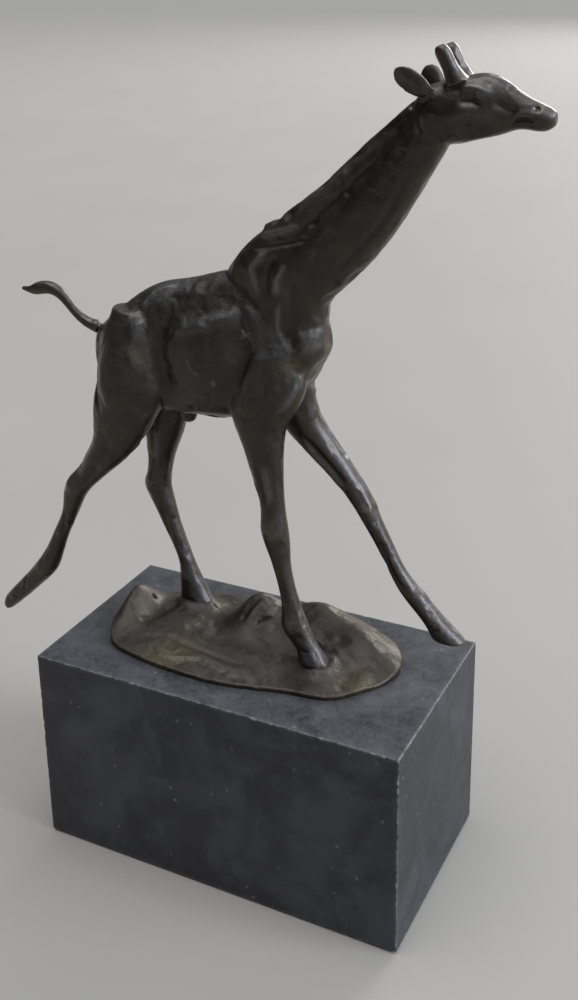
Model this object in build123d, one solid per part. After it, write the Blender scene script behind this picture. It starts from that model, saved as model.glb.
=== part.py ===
from build123d import *
import math
import os

# A bronze giraffe at full stride on a black marble block. Millimetres, +Z up, +X the way the animal runs.
# The origin is the middle of the underside, on the surface that the block stands on.

# Marble block
BLOCK_LENGTH = 180.0
BLOCK_DEPTH = 98.0
BLOCK_TOP = 98.0
EDGE_WEAR = 0.7
FELT_THICKNESS = 1.0
FELT_INSET = 2.0
FELT_CORNER = 3.0

# Two M6 studs hold the bronze to the block
STUD_DIAMETER = 6.0
STUD_CLEARANCE_HOLE = 8.0
STUD_START = 4.5
STUD_ENGAGEMENT = 6.0
STUD_CHAMFER = 0.8
STUD_PLACES = {"rear": (-41.0, 7.0), "front": (0.0, 9.0)}
WELL_DIAMETER = 22.0
WELL_DEPTH = 12.0
WASHER_DIAMETER = 18.0
WASHER_THICKNESS = 1.6
WASHER_CLEARANCE = 0.2
NUT_ACROSS_FLATS = 10.0
NUT_HEIGHT = 5.0
NUT_CHAMFER = 0.6
FIT_GAP = 0.05

# Bronze
MEDIAN = 4.0
WALL = 4.0
RING_POINTS = 12
LEG_CUT = 203.0
LEG_SPIGOT = (7.0, 8.0)
NECK_CUT_POINT = (20.0, MEDIAN, 280.0)
NECK_CUT_WAY = (0.6, 0.0, 0.8)
NECK_SPIGOT = (12.0, 8.0)
HEAD_CUT_POINT = (74.0, MEDIAN, 336.5)
HEAD_CUT_WAY = (0.6, 0.0, 0.8)
HEAD_SPIGOT = (6.0, 7.0)
TAIL_CUT = -80.0
TAIL_SPIGOT = (3.0, 5.0)
TENON_DIAMETER = 5.0
TENON_LENGTH = 3.5
SEAT_GAP = 0.3
BOSS_RADIUS = 6.0
TENON_BOSS_RADIUS = 5.0
CORE_REAR = -72.0
CORE_FRONT = 10.0
SHEATH_PLACE = (-34.0, MEDIAN, 209.5)
SHEATH_SIZE = (4.5, 3.2, 5.0)
EYE_PLACE = (99.0, 6.6, 354.5)
EYE_RADIUS = 2.2
FAR = 400.0


def signed_power(value, power):
    return math.copysign(abs(value) ** power, value)


def ring(centre, along, half_high, half_wide, narrowing=0.0, fullness=2.2):
    """A closed oval across `along`. half_high lies in the side view, half_wide across the animal;
    narrowing makes the upper half slimmer than the lower."""
    points = []
    for step in range(RING_POINTS):
        turn = 2 * math.pi * step / RING_POINTS
        high = signed_power(math.cos(turn), 2 / fullness)
        wide = signed_power(math.sin(turn), 2 / fullness)
        points.append((half_high * high, half_wide * wide * (1 - narrowing * high)))
    plane = Plane(origin=centre, x_dir=(-along[2], 0, along[0]), z_dir=along)
    return plane * make_face(Spline(*points, periodic=True))


def spine_loft(stations, narrowing=0.0):
    """A body along a bent centre line: each station is x, z, half height, half width, y."""
    rings = []
    for index, (x, z, half_high, half_wide, y) in enumerate(stations):
        before = stations[max(index - 1, 0)]
        after = stations[min(index + 1, len(stations) - 1)]
        along = Vector(after[0] - before[0], 0, after[1] - before[1]).normalized()
        rings.append(ring((x, y, z), (along.X, 0, along.Z), half_high, half_wide, narrowing))
    return loft(rings)


def level_loft(stations):
    """A limb cut level at each station: z, rearmost x, foremost x, y, half width."""
    rings = []
    for z, rear, front, y, half_wide in stations:
        centre = ((rear + front) / 2, y, z)
        rings.append(ring(centre, (0, 0, 1), (front - rear) / 2, half_wide))
    return loft(rings)


def upright_loft(stations, narrowing=0.0, inset=0.0):
    """A body cut upright at each station: x, lowest z, highest z, half width, y."""
    rings = []
    for x, low, high, half_wide, y in stations:
        centre = (x, y, (low + high) / 2)
        rings.append(ring(centre, (1, 0, 0), (high - low) / 2 - inset, half_wide - inset, narrowing))
    return loft(rings)


def half_space(point, way):
    """A very large block on the side of the plane that `way` points to."""
    plane = Plane(origin=point, z_dir=way)
    return plane * Pos(0, 0, FAR / 2) * Box(FAR, FAR, FAR)


def peg(point, way, diameter, length, sunk=2.0):
    """A round spigot that stands `length` proud of the plane, with its root sunk into the metal."""
    plane = Plane(origin=point, z_dir=way)
    return plane * Pos(0, 0, (length - sunk) / 2) * Cylinder(diameter / 2, length + sunk)


def socket(point, way, diameter, length):
    """The hole that a peg goes into, a little wider and deeper."""
    return peg(point, way, diameter + 2 * FIT_GAP, length + 0.5)


# ---------------------------------------------------------------- limbs
RIGHT_FORE = [
    (258, 2, 23, 0, 6),
    (248, -3, 28, -3, 9),
    (236, -6, 29, -4.5, 10),
    (224, -6, 26, -5.5, 9.5),
    (214, -3.5, 20.5, -6.5, 8.2),
    (203, 1, 19, -7, 7),
    (194, 3.5, 18.6, -7, 6),
    (186, 6, 18.8, -7, 5.3),
    (176, 8.2, 19.4, -7, 4.9),
    (168, 8, 20.4, -7, 5.1),
    (160, 9.4, 21.4, -7, 4.7),
    (152, 12.4, 21.6, -7, 4.0),
    (144, 14.8, 22.6, -7, 3.7),
    (134, 17, 25.2, -7, 3.6),
    (126, 17.4, 28, -7, 4.1),
    (119, 17.6, 31, -7, 4.8),
    (114, 21, 33.5, -7, 4.6),
    (108, 25.2, 37.5, -7, 5.2),
    (103, 27, 40.5, -7, 5.8),
]
LEFT_FORE = [
    (256, 2, 22, 9, 6),
    (246, -1, 25, 11, 9),
    (236, -1, 24.5, 12, 10),
    (224, 1, 24, 13.5, 9.3),
    (214, 4.5, 26, 15, 8.4),
    (203, 12, 32, 16.5, 7.4),
    (195, 20, 37.5, 17.5, 6.7),
    (188, 28.5, 42.3, 18, 6),
    (180, 36, 48, 18, 5.4),
    (172, 42, 52, 18, 5),
    (165, 46.5, 55.5, 18, 4.5),
    (156, 52, 60.2, 18, 3.9),
    (145, 58, 66.3, 18, 3.7),
    (135, 64, 75, 18, 4.3),
    (128, 70.5, 81.8, 18, 4.8),
    (121, 76.5, 89.5, 18, 5.2),
    (115.3, 80, 95, 18, 5.4),
]
RIGHT_HIND = [
    (258, -67, -45, -1, 8),
    (246, -72.5, -38, -3, 10.5),
    (232, -74, -37, -5.5, 11),
    (218, -75.2, -40, -8, 9.8),
    (203, -76.3, -47.5, -9, 8.2),
    (196, -77, -52.5, -9.5, 7.2),
    (188, -81, -59.5, -10, 6.2),
    (180, -86, -68.5, -10, 5.4),
    (172, -93.3, -77.5, -10, 5.1),
    (165, -96, -84, -10, 4.8),
    (156, -97.5, -89, -10, 4.2),
    (144, -103.3, -95, -10, 3.6),
    (134, -108.5, -99.5, -10, 3.8),
    (126, -114, -102.5, -10, 4.4),
    (118, -120.5, -107.5, -10, 4.9),
    (110, -128, -115.5, -10, 4.7),
    (102, -135.5, -124, -10, 4.6),
    (96, -139.4, -130.8, -10, 4.0),
    (92.2, -139.0, -135.2, -10, 3.0),
]
LEFT_HIND = [
    (256, -67, -45, 9, 8),
    (244, -73, -38, 11, 10.5),
    (230, -75, -37, 12.5, 10.5),
    (216, -73, -37, 13.5, 9.5),
    (203, -67, -41.2, 14, 8),
    (192, -64, -45.2, 14.5, 6.8),
    (182, -63.8, -49.5, 15, 5.8),
    (174, -64, -51.8, 15, 5.3),
    (165, -66.3, -52.8, 15, 5.3),
    (156, -62.3, -51, 15, 4.8),
    (148, -58.6, -49, 15, 4.2),
    (136, -52.6, -45, 15, 3.9),
    (126, -49, -41.2, 15, 4.0),
    (118, -48.6, -37.5, 15, 4.7),
    (112, -48.6, -34.4, 15, 5.4),
    (107, -49.4, -31, 15, 6.4),
]
LIMBS = {
    "foreleg_right_casting": RIGHT_FORE,
    "foreleg_left_casting": LEFT_FORE,
    "hindleg_right_casting": RIGHT_HIND,
    "hindleg_left_casting": LEFT_HIND,
}
PLANTED = ("foreleg_right_casting", "hindleg_left_casting")

# ---------------------------------------------------------------- trunk, neck, head, tail
TRUNK = [
    (-79, 234, 245.5, 5, MEDIAN),
    (-75, 222, 248.5, 10.5, MEDIAN),
    (-68, 214, 254.5, 14, MEDIAN),
    (-59, 210.5, 261.5, 15, MEDIAN),
    (-48, 209.5, 268, 15.5, MEDIAN),
    (-36, 209.5, 271.5, 16, MEDIAN),
    (-22, 211, 275, 17, MEDIAN),
    (-8, 212, 279, 17, MEDIAN),
    (5, 214.5, 281, 16, MEDIAN),
    (16, 220, 278, 14.5, MEDIAN),
    (25.5, 230, 271, 12.5, MEDIAN),
    (32, 240, 265, 9, MEDIAN),
    (35.5, 247, 259, 4.5, MEDIAN),
]
NECK = [
    (12, 259, 21, 13, MEDIAN),
    (17.5, 279, 22, 12, MEDIAN),
    (32.8, 292.8, 19.5, 10.5, MEDIAN),
    (46.5, 305, 17.8, 9.3, MEDIAN),
    (57, 316, 15.4, 8.6, MEDIAN),
    (66, 326.5, 13, 8.1, MEDIAN),
    (73, 335.5, 11.4, 7.8, MEDIAN),
    (79, 344.5, 10.3, 7.6, MEDIAN),
]
MANE = [
    (9, 295.5, 4.5, 2.8, MEDIAN),
    (24, 305.5, 3.6, 2.4, MEDIAN),
    (40, 319, 3.4, 2.2, MEDIAN),
    (54, 332, 3.4, 2.1, MEDIAN),
    (66, 343, 3.2, 2.0, MEDIAN),
    (74.5, 350.5, 3.0, 1.8, MEDIAN),
    (80, 356, 2.4, 1.6, MEDIAN),
]
HEAD = [
    (73, 339, 352, 5.5, MEDIAN),
    (78, 336.4, 358, 7.8, MEDIAN),
    (85, 336.2, 360, 8.8, MEDIAN),
    (93, 337.4, 362, 8.8, MEDIAN),
    (100, 339.2, 363, 7.8, MEDIAN),
    (107, 341, 361, 6.2, MEDIAN),
    (113, 343, 357, 5.2, MEDIAN),
    (119, 342.8, 353.8, 4.9, MEDIAN),
    (124, 343.2, 351.6, 4.2, MEDIAN),
    (126.6, 345.2, 349.8, 2.2, MEDIAN),
]
TAIL = [
    (-74, 244.5, 4.4, 4.2, MEDIAN),
    (-79, 244.3, 3.6, 3.2, MEDIAN),
    (-85.5, 245.6, 2.6, 2.5, MEDIAN),
    (-91.5, 249, 2.3, 2.3, MEDIAN),
    (-98, 255.6, 2.5, 2.4, MEDIAN),
    (-104.5, 259.8, 3.0, 2.7, MEDIAN),
    (-111, 259.8, 3.3, 2.7, MEDIAN),
    (-117, 258.3, 2.3, 2.0, MEDIAN),
    (-123, 258.6, 1.2, 1.2, MEDIAN),
]


# Along an ear, from its root to its tip: part of its length, half thickness, half width
EAR_LEAF = [
    (0, 1.9, 2.2),
    (0.25, 1.8, 3.9),
    (0.6, 1.6, 4.6),
    (0.85, 1.2, 3.4),
    (1, 0.7, 1.2),
]


def ear(side, root_x, rise, breadth):
    """A leaf-shaped ear that points back, up and out; side is -1 for the right and 1 for the left."""
    rings = []
    for reach, half_thick, half_wide in EAR_LEAF:
        centre = (root_x - 10.5 * reach, MEDIAN + side * (5.5 + 8.5 * reach), 355 + rise * reach)
        rings.append(ring(centre, (-0.75, 0, 0.66), half_wide * breadth, half_thick))
    return loft(rings)


# Along a horn, from its root to its tip: part of its length, radius
OSSICONE = [
    (0, 4.6),
    (0.3, 3.4),
    (0.65, 3.0),
    (0.88, 2.8),
    (1, 1.7),
]


def ossicone(side):
    """A blunt horn that leans back and out."""
    rings = []
    for rise, radius in OSSICONE:
        centre = (90.5 - 7 * rise, MEDIAN + side * (3.6 + 1.6 * rise), 359 + 14 * rise)
        rings.append(ring(centre, (-0.39, 0, 0.92), radius, radius))
    return loft(rings)


# ---------------------------------------------------------------- ground casting
GROUND_OUTLINE = [
    (-73, 2),
    (-71, -14),
    (-64, -25.5),
    (-50, -31),
    (-30, -34),
    (-8, -34.5),
    (12, -31.5),
    (30, -27),
    (47, -24),
    (58, -13),
    (66, 0),
    (67.5, 11),
    (62, 22),
    (49, 31.5),
    (30, 37),
    (5, 39),
    (-22, 37.5),
    (-46, 32),
    (-64, 21),
]
GROUND_HALF_LENGTH = 70.0
GROUND_HALF_DEPTH = 37.0
GROUND_RIM = 2.4
GROUND_CORNER = (-84, -48)
GROUND_STEP = (8, 6)
GROUND_ROWS = (22, 17)
GROUND_PRISM_HEIGHT = 60.0
# Each rise of the ground: x, y, height, reach along X, reach along Y
GROUND_RISES = [
    (-66, 1, 13.5, 8, 14),
    (-42, 8, 5.5, 18, 17),
    (-6, 13, 17, 12, 13),
    (22, 22, 15, 20, 14),
    (48, 13, 9, 15, 12),
    (-30, -12, 4.5, 28, 12),
    (38, -8, 3.4, 8, 8),
    (-40, 15, 3, 11, 9),
]


def ground_height(x, y):
    height = GROUND_RIM
    for centre_x, centre_y, rise, reach_x, reach_y in GROUND_RISES:
        away = ((x - centre_x) / reach_x) ** 2 + ((y - centre_y) / reach_y) ** 2
        height += rise * math.exp(-away)
    return height


def ground_prism(drop, inset, floor):
    """The mound above floor, with its surface lowered by drop and its outline drawn in by inset."""
    rows = []
    columns = [GROUND_CORNER[1] + GROUND_STEP[1] * column for column in range(GROUND_ROWS[1])]
    for row in range(GROUND_ROWS[0]):
        x = GROUND_CORNER[0] + GROUND_STEP[0] * row
        rows.append([Vector(x, y, BLOCK_TOP + ground_height(x, y)) for y in columns])
    skin = Face.make_surface_from_array_of_points(rows)
    solid = Pos(0, 0, -drop) * extrude(skin, amount=GROUND_PRISM_HEIGHT, dir=(0, 0, -1))
    shrink_x = 1 - inset / GROUND_HALF_LENGTH
    shrink_y = 1 - inset / GROUND_HALF_DEPTH
    outline = make_face(Spline(*[(x * shrink_x, y * shrink_y) for x, y in GROUND_OUTLINE], periodic=True))
    return solid & (Pos(0, 0, floor) * extrude(outline, amount=GROUND_PRISM_HEIGHT))


def seat(x_rear, x_front, y, half_wide, sole):
    """The flat that a planted hoof stands on: everything above the sole, a little wider than the hoof."""
    centre = ((x_rear + x_front) / 2, y, sole)
    outline = ring(centre, (0, 0, 1), (x_front - x_rear) / 2 + SEAT_GAP, half_wide + SEAT_GAP)
    return extrude(outline, amount=GROUND_PRISM_HEIGHT)


def ground_casting():
    """A thin shell, open below, with solid bosses for the studs and under the planted hooves."""
    mound = ground_prism(0, 0, BLOCK_TOP)
    hollow = ground_prism(WALL, WALL, BLOCK_TOP - 5)
    for x, y in STUD_PLACES.values():
        hollow -= Pos(x, y, BLOCK_TOP) * Cylinder(BOSS_RADIUS, 2 * GROUND_PRISM_HEIGHT)
    soles = []
    for name in PLANTED:
        sole, rear, front, y, half_wide = LIMBS[name][-1]
        soles.append((rear, front, y, half_wide, sole))
        boss = Cylinder(TENON_BOSS_RADIUS, 2 * GROUND_PRISM_HEIGHT)
        hollow -= Pos((rear + front) / 2, y, BLOCK_TOP) * boss
    shell = mound - hollow
    for rear, front, y, half_wide, sole in soles:
        shell -= seat(rear, front, y, half_wide, sole)
        hole = Cylinder(TENON_DIAMETER / 2 + FIT_GAP, 2 * (TENON_LENGTH + 0.3))
        shell -= Pos((rear + front) / 2, y, sole) * hole
    for x, y in STUD_PLACES.values():
        shell -= Pos(x, y, BLOCK_TOP) * Cylinder(STUD_DIAMETER / 2 + FIT_GAP, 2 * (STUD_ENGAGEMENT + 0.5))
    return shell


# ---------------------------------------------------------------- the animal
below_leg_cut = Pos(0, 0, LEG_CUT - FAR / 2) * Box(FAR, FAR, FAR)
above_leg_cut = Pos(0, 0, LEG_CUT + FAR / 2) * Box(FAR, FAR, FAR)
above_neck_cut = half_space(NECK_CUT_POINT, NECK_CUT_WAY)
above_head_cut = half_space(HEAD_CUT_POINT, HEAD_CUT_WAY)
DOWN_NECK = tuple(-part for part in NECK_CUT_WAY)
DOWN_HEAD = tuple(-part for part in HEAD_CUT_WAY)


def leg_top(stations):
    """The middle of the cut where the leg meets the trunk."""
    z, rear, front, y, half_wide = next(station for station in stations if station[0] == LEG_CUT)
    return ((rear + front) / 2, y, z)


def leg_casting(name):
    stations = LIMBS[name]
    leg = level_loft(stations) & below_leg_cut
    leg += peg(leg_top(stations), (0, 0, 1), *LEG_SPIGOT)
    if name in PLANTED:
        sole, rear, front, y, half_wide = stations[-1]
        leg += peg(((rear + front) / 2, y, sole), (0, 0, -1), TENON_DIAMETER, TENON_LENGTH)
    return leg


def trunk_casting():
    trunk = upright_loft(TRUNK, narrowing=0.12)
    for stations in LIMBS.values():
        trunk += level_loft(stations) & above_leg_cut
    trunk += spine_loft(NECK, narrowing=0.15)
    trunk -= above_neck_cut
    trunk += Pos(*SHEATH_PLACE) * scale(Sphere(1), by=SHEATH_SIZE)
    core = [station for station in TRUNK if CORE_REAR < station[0] < CORE_FRONT]
    trunk -= upright_loft(core, narrowing=0.12, inset=WALL)
    for stations in LIMBS.values():
        trunk -= socket(leg_top(stations), (0, 0, 1), *LEG_SPIGOT)
    trunk -= socket(NECK_CUT_POINT, DOWN_NECK, *NECK_SPIGOT)
    trunk -= Pos(TAIL_CUT - FAR / 2, 0, 0) * Box(FAR, FAR, 2 * FAR)
    trunk -= socket((TAIL_CUT, MEDIAN, 244.4), (1, 0, 0), *TAIL_SPIGOT)
    return trunk


def neck_casting():
    neck = spine_loft(NECK, narrowing=0.15) + spine_loft(MANE)
    neck = (neck & above_neck_cut) - above_head_cut
    neck += peg(NECK_CUT_POINT, DOWN_NECK, *NECK_SPIGOT)
    neck -= socket(HEAD_CUT_POINT, DOWN_HEAD, *HEAD_SPIGOT)
    return neck


def head_casting():
    head = upright_loft(HEAD, narrowing=0.1) + spine_loft(NECK, narrowing=0.15)
    head = head & above_head_cut
    head += spine_loft(MANE) & above_head_cut
    head += ear(-1, 80, 10, 1.0)
    head += ear(1, 81, 8, 1.1)
    for side in (-1, 1):
        head += ossicone(side)
        head += Pos(EYE_PLACE[0], MEDIAN + side * EYE_PLACE[1], EYE_PLACE[2]) * Sphere(EYE_RADIUS)
    head += peg(HEAD_CUT_POINT, DOWN_HEAD, *HEAD_SPIGOT)
    return head


def tail_casting():
    tail = spine_loft(TAIL) & (Pos(TAIL_CUT - FAR / 2, 0, 0) * Box(FAR, FAR, 2 * FAR))
    tail += peg((TAIL_CUT, MEDIAN, 244.4), (1, 0, 0), *TAIL_SPIGOT)
    return tail


# ---------------------------------------------------------------- block and fasteners
def marble_block():
    height = BLOCK_TOP - FELT_THICKNESS
    block = Pos(0, 0, FELT_THICKNESS + height / 2) * Box(BLOCK_LENGTH, BLOCK_DEPTH, height)
    block = chamfer(block.edges(), EDGE_WEAR)
    for x, y in STUD_PLACES.values():
        block -= Pos(x, y, BLOCK_TOP / 2) * Cylinder(STUD_CLEARANCE_HOLE / 2, 2 * BLOCK_TOP)
        block -= Pos(x, y, FELT_THICKNESS) * Cylinder(WELL_DIAMETER / 2, 2 * WELL_DEPTH)
    return block


def felt_sheet():
    length = BLOCK_LENGTH - 2 * FELT_INSET
    depth = BLOCK_DEPTH - 2 * FELT_INSET
    return extrude(RectangleRounded(length, depth, FELT_CORNER), amount=FELT_THICKNESS)


def stud(x, y):
    length = BLOCK_TOP + STUD_ENGAGEMENT - STUD_START
    rod = Pos(x, y, STUD_START + length / 2) * Cylinder(STUD_DIAMETER / 2, length)
    return chamfer(rod.edges().filter_by(GeomType.CIRCLE), STUD_CHAMFER)


def washer(x, y):
    top = FELT_THICKNESS + WELL_DEPTH
    disc = Cylinder(WASHER_DIAMETER / 2, WASHER_THICKNESS)
    disc -= Cylinder(STUD_DIAMETER / 2 + WASHER_CLEARANCE, 2 * WASHER_THICKNESS)
    return Pos(x, y, top - WASHER_THICKNESS / 2) * disc


def nut(x, y):
    top = FELT_THICKNESS + WELL_DEPTH - WASHER_THICKNESS
    hexagon = extrude(RegularPolygon(NUT_ACROSS_FLATS / 2, 6, major_radius=False), amount=NUT_HEIGHT)
    across_corners = NUT_ACROSS_FLATS / math.cos(math.pi / 6)
    crown = Pos(0, 0, NUT_HEIGHT / 2) * Cylinder(across_corners / 2, NUT_HEIGHT)
    hexagon &= chamfer(crown.edges(), NUT_CHAMFER)
    hexagon -= Cylinder(STUD_DIAMETER / 2 + FIT_GAP, 4 * NUT_HEIGHT)
    return Pos(x, y, top - NUT_HEIGHT) * hexagon


pieces = {
    "marble_block": marble_block(),
    "felt_sheet": felt_sheet(),
    "ground_casting": ground_casting(),
    "trunk_casting": trunk_casting(),
    "neck_casting": neck_casting(),
    "head_casting": head_casting(),
    "tail_casting": tail_casting(),
}
for name in LIMBS:
    pieces[name] = leg_casting(name)
for place, (x, y) in STUD_PLACES.items():
    pieces["stud_" + place] = stud(x, y)
    pieces["washer_" + place] = washer(x, y)
    pieces["nut_" + place] = nut(x, y)

os.makedirs("parts", exist_ok=True)
for name, shape in pieces.items():
    export_step(shape, "parts/" + name + ".step")
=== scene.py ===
import functools
import math

import bmesh
import bpy
import numpy as np
from mathutils import Matrix, Vector
from mathutils.bvhtree import BVHTree


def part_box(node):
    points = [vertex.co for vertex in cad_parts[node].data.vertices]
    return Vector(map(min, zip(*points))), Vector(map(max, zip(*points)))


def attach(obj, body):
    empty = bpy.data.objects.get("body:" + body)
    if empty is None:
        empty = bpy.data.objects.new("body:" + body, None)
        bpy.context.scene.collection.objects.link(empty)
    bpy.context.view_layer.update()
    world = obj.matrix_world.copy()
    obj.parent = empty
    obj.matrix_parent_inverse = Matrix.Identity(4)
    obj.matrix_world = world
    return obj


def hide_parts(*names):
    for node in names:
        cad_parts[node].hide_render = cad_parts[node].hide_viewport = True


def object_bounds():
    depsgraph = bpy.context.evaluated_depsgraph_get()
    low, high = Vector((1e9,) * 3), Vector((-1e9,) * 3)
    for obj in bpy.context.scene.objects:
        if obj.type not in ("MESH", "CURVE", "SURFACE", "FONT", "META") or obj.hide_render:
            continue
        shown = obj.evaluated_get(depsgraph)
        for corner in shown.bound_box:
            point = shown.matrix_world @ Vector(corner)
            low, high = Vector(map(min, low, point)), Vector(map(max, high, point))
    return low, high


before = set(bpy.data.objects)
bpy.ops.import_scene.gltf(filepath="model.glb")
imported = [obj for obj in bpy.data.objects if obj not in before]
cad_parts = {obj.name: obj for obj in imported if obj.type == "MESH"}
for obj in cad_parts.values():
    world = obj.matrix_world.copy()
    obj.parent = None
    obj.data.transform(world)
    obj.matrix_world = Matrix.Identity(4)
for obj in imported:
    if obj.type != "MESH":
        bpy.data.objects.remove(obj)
cad_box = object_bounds()
MM = 0.001

# Camera: degrees, metres, and the lens in millimetres
CAMERA_AZIMUTH = 27.79
CAMERA_ELEVATION = 18.5
CAMERA_ROLL = -1.35
CAMERA_PLACE = (0.2392, -0.4382, 0.4082)
CAMERA_LENS = 44.13
CAMERA_SHIFT = (0.0232, -0.1425)

# The bronze castings are sculpted as one skin and parted again at the CAD's own joints.
ANIMAL = [
    "trunk_casting",
    "neck_casting",
    "head_casting",
    "tail_casting",
    "foreleg_right_casting",
    "foreleg_left_casting",
    "hindleg_right_casting",
    "hindleg_left_casting",
]

# Sizes in millimetres: the grain of the meshes, the half width from which a form gets no painted highlight or
# shade, how far the skin stays inside the CAD model's box, and the spacing of points along a stroke
SKIN_GRAIN = 0.5
GROUND_GRAIN = 0.5
BROAD_FORM = 4.5
SKIN_MARGIN = 0.01
ROUTE_STEP = 1.0

# Where the castings are parted, as in the CAD, in millimetres
NECK_CUT = (20, 4, 280)
HEAD_CUT = (74, 4, 336.5)
TAIL_CUT = (-80, 4, 244.4)
UP_THE_NECK = (0.6, 0, 0.8)
HEAD_BLEND = 6


# ---------------------------------------------------------------- mesh work, in millimetres
def joined(names):
    """The CAD meshes of several nodes as one new object, in millimetres."""
    whole = bmesh.new()
    for name in names:
        whole.from_mesh(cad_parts[name].data)
    whole.transform(Matrix.Scale(1 / MM, 4))
    mesh = bpy.data.meshes.new("joined")
    whole.to_mesh(mesh)
    whole.free()
    made = bpy.data.objects.new("joined", mesh)
    bpy.context.scene.collection.objects.link(made)
    return made


def remeshed(source, grain):
    """An even mesh of quads over the outside of source, which is deleted."""
    even = source.modifiers.new("even", "REMESH")
    even.mode = "VOXEL"
    even.voxel_size = grain
    even.adaptivity = 0
    graph = bpy.context.evaluated_depsgraph_get()
    mesh = bpy.data.meshes.new_from_object(source.evaluated_get(graph))
    bpy.data.objects.remove(source)
    return mesh


@functools.cache
def corners(name):
    low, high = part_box(name)
    return np.array(low) / MM, np.array(high) / MM


def at(name, x, y, z):
    """A point given as shares of a node's box, from its lowest corner to its highest."""
    low, high = corners(name)
    return low + (high - low) * np.array([x, y, z])


def painted_highlight_and_shade(rise, width):
    """The painted highlight that a raised stroke gets, or the painted shade that a cut one gets; broad forms
    get none.
    """
    return rise * max(0.0, 1 - width / BROAD_FORM)


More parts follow.
